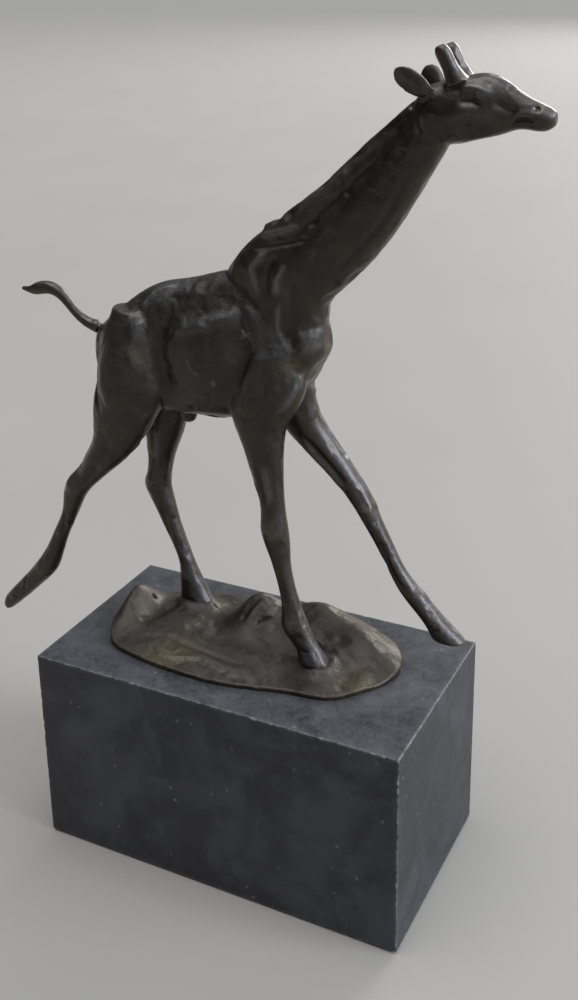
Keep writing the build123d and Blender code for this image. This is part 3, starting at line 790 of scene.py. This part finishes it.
# ---------------------------------------------------------------- marble block and felt
EDGE_ROUND = 0.6
CHIP_COUNT = 150
BLOCK_SPACING = 1.1
FELT_CORNER = 3.0
FELT_SPACING = 1.2
CORNER_SIGNS = ((1, 1), (-1, 1), (-1, -1), (1, -1))


def marks_along(low, high):
    """Grid lines across a face of the block: close together near its edges."""
    near = np.array([0, 0.2, 0.4, 0.6, 0.9, 1.3, 1.8, 2.4])
    middle = np.linspace(low + 3.2, high - 3.2, int((high - low - 6.4) / BLOCK_SPACING))
    return np.concatenate([low + near, middle, high - near[::-1]])


def block_bmesh():
    """The block as six fine grids joined at its edges, with rounded, chipped edges."""
    low, high = corners("marble_block")
    block = bmesh.new()
    lines = [marks_along(low[axis], high[axis]) for axis in range(3)]
    for axis in range(3):
        across, along = (axis + 1) % 3, (axis + 2) % 3
        for level, turned in ((low[axis], True), (high[axis], False)):
            grid = []
            for a in lines[across]:
                row = []
                for b in lines[along]:
                    point = [0.0, 0.0, 0.0]
                    point[axis], point[across], point[along] = level, a, b
                    row.append(block.verts.new(point))
                grid.append(row)
            for i in range(len(grid) - 1):
                for j in range(len(grid[0]) - 1):
                    ring = [grid[i][j], grid[i + 1][j], grid[i + 1][j + 1], grid[i][j + 1]]
                    block.faces.new(ring[::-1] if turned else ring)
    bmesh.ops.remove_doubles(block, verts=block.verts, dist=1e-4)
    points = np.array([vert.co for vert in block.verts])
    reach = np.sort(np.minimum(points - low, high - points), axis=1)
    edge_gap = reach[:, 1]
    inner = np.clip(points, low + EDGE_ROUND, high - EDGE_ROUND)
    out = points - inner
    out /= np.linalg.norm(out, axis=1, keepdims=True)
    points = inner + EDGE_ROUND * out
    random = np.random.default_rng(11)
    chip = np.zeros(len(points))
    for _ in range(CHIP_COUNT):
        axis = random.integers(3)
        spot = np.where(random.random(3) < 0.5, low, high)
        spot[axis] = random.uniform(low[axis], high[axis])
        away = np.sign(spot - (low + high) / 2)
        away[axis] = 0
        away /= np.linalg.norm(away)
        radius = random.uniform(0.8, 2.4)
        ball = spot + away * (radius - random.uniform(0.3, 0.62) * min(1.0, radius / 1.6))
        gap = points - ball
        far = np.linalg.norm(gap, axis=1)
        inside = far < radius
        points[inside] = ball + gap[inside] / far[inside, None] * radius
        chip[inside] = 1
    for vert, point in zip(block.verts, points):
        vert.co = point
    edge_layer = block.verts.layers.float.new("edge")
    chip_layer = block.verts.layers.float.new("chip")
    for vert, gap, hit in zip(block.verts, edge_gap, chip):
        vert[edge_layer] = math.exp(-gap / 0.55)
        vert[chip_layer] = hit
    for face in block.faces:
        face.smooth = True
    return block


def felt_bmesh():
    """A thin sheet with rounded corners and a soft, slightly uneven edge."""
    low, high = corners("felt_sheet")
    half = (high - low) / 2
    middle = (high + low) / 2
    outline = []
    for turn in range(4):
        sign = CORNER_SIGNS[turn]
        following = CORNER_SIGNS[(turn + 1) % 4]
        centre = np.array([sign[0] * (half[0] - FELT_CORNER), sign[1] * (half[1] - FELT_CORNER)])
        for step in range(7):
            angle = math.radians(90 * turn + 15 * step)
            outline.append(centre + FELT_CORNER * np.array([math.cos(angle), math.sin(angle)]))
        goal = np.array([following[0] * (half[0] - FELT_CORNER), following[1] * (half[1] - FELT_CORNER)])
        angle = math.radians(90 * (turn + 1))
        goal = goal + FELT_CORNER * np.array([math.cos(angle), math.sin(angle)])
        start = outline[-1]
        count = int(np.linalg.norm(goal - start) / FELT_SPACING)
        outline += [start + (goal - start) * k / count for k in range(1, count)]
    outline = np.array(outline)
    random = np.random.default_rng(5)
    wave = np.convolve(np.tile(random.uniform(-1, 1, len(outline)), 3), np.ones(5) / 5, "same")
    wave = wave[len(outline) : 2 * len(outline)]
    felt = bmesh.new()
    rings = []
    inward = outline / np.linalg.norm(outline, axis=1, keepdims=True)
    thick = high[2] - low[2]
    for rise, inset in ((0, 0.35), (0.12, 0.1), (0.5, 0.0), (0.88, 0.1), (1, 0.35)):
        ring = []
        for point, way, shift in zip(outline, inward, wave):
            x, y = point - way * (inset + 0.12 + 0.12 * shift)
            ring.append(felt.verts.new((middle[0] + x, middle[1] + y, low[2] + rise * thick)))
        rings.append(ring)
    for below, above in zip(rings, rings[1:]):
        for k in range(len(below)):
            after = (k + 1) % len(below)
            felt.faces.new((below[k], below[after], above[after], above[k]))
    caps = [felt.faces.new(rings[0][::-1]), felt.faces.new(rings[-1])]
    for face in felt.faces:
        face.smooth = True
    bmesh.ops.triangulate(felt, faces=caps)
    return felt


piece("marble", block_bmesh(), "marble_block", marble_finish())
felt = piece("felt", felt_bmesh(), "felt_sheet", felt_finish())

# The studs, washers and nuts keep their CAD shapes.
zinc = zinc_finish()
for place in ("rear", "front"):
    for fastener in ("stud", "washer", "nut"):
        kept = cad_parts[fastener + "_" + place]
        kept.data.materials.clear()
        kept.data.materials.append(zinc)


# ---------------------------------------------------------------- camera, light and floor
FLOOR_RADIUS = 30


def place_camera():
    azimuth = math.radians(CAMERA_AZIMUTH)
    elevation = math.radians(CAMERA_ELEVATION)
    roll = math.radians(CAMERA_ROLL)
    back = Vector((math.sin(azimuth) * math.cos(elevation), -math.cos(azimuth) * math.cos(elevation),
                   math.sin(elevation)))
    across = (-back).cross(Vector((0, 0, 1))).normalized()
    up = across.cross(-back)
    right = across * math.cos(roll) + up * math.sin(roll)
    top = up * math.cos(roll) - across * math.sin(roll)
    lens = bpy.data.cameras.new("camera")
    lens.lens = CAMERA_LENS
    lens.shift_x, lens.shift_y = CAMERA_SHIFT
    lens.clip_start = 0.01
    camera = bpy.data.objects.new("camera", lens)
    camera.matrix_world = Matrix.Translation(CAMERA_PLACE) @ Matrix((right, top, back)).transposed().to_4x4()
    bpy.context.scene.collection.objects.link(camera)
    bpy.context.scene.camera = camera


def soft_light(name, place, size, power, tint):
    """A round area light aimed at the middle of the statue."""
    low, high = cad_box
    goal = (Vector(low) + Vector(high)) / 2
    light = bpy.data.lights.new(name, "AREA")
    light.shape = "DISK"
    light.size = size
    light.energy = power
    light.color = tint
    made = bpy.data.objects.new(name, light)
    made.location = place
    made.rotation_mode = "QUATERNION"
    made.rotation_quaternion = (Vector(place) - goal).to_track_quat("Z", "Y")
    bpy.context.scene.collection.objects.link(made)


def distant_light(name, way, spread, strength, tint):
    """A broad, far light that shines from `way`."""
    light = bpy.data.lights.new(name, "SUN")
    light.angle = math.radians(spread)
    light.energy = strength
    light.color = tint
    made = bpy.data.objects.new(name, light)
    made.rotation_mode = "QUATERNION"
    made.rotation_quaternion = Vector(way).to_track_quat("Z", "Y")
    bpy.context.scene.collection.objects.link(made)


def studio():
    distant_light("window", (1.0, 0.1, 0.55), 36, 2.1, (0.9, 0.96, 1.08))
    distant_light("ceiling", (-0.2, -0.2, 1.0), 50, 1.3, (1.0, 0.99, 0.97))
    soft_light("back_wall", (0.8, 5.5, 2.4), 3.0, 170, (1.0, 0.99, 0.97))
    world = bpy.data.worlds.new("studio")
    world.use_nodes = True
    nodes = world.node_tree.nodes
    links = world.node_tree.links
    spread = nodes.new("ShaderNodeTexCoord").outputs["Generated"]
    facing = nodes.new("ShaderNodeVectorMath")
    facing.operation = "DOT_PRODUCT"
    facing.inputs[1].default_value = (0.72, 0.3, 0.62)
    links.new(spread, facing.inputs[0])
    level = nodes.new("ShaderNodeMapRange")
    level.interpolation_type = "SMOOTHSTEP"
    for key, value in {"From Min": -0.5, "From Max": 1.0, "To Min": 0.03, "To Max": 0.6}.items():
        level.inputs[key].default_value = value
    links.new(facing.outputs["Value"], level.inputs["Value"])
    nodes["Background"].inputs["Color"].default_value = (0.93, 0.96, 1.0, 1.0)
    links.new(level.outputs["Result"], nodes["Background"].inputs["Strength"])
    bpy.context.scene.world = world
    floor_mesh = bpy.data.meshes.new("floor")
    disc = bmesh.new()
    bmesh.ops.create_circle(disc, cap_ends=True, segments=96, radius=FLOOR_RADIUS)
    disc.to_mesh(floor_mesh)
    disc.free()
    floor_mesh.materials.append(floor_finish())
    floor = bpy.data.objects.new("floor", floor_mesh)
    bpy.context.scene.collection.objects.link(floor)
    bpy.context.scene.view_settings.view_transform = "Standard"


place_camera()
studio()
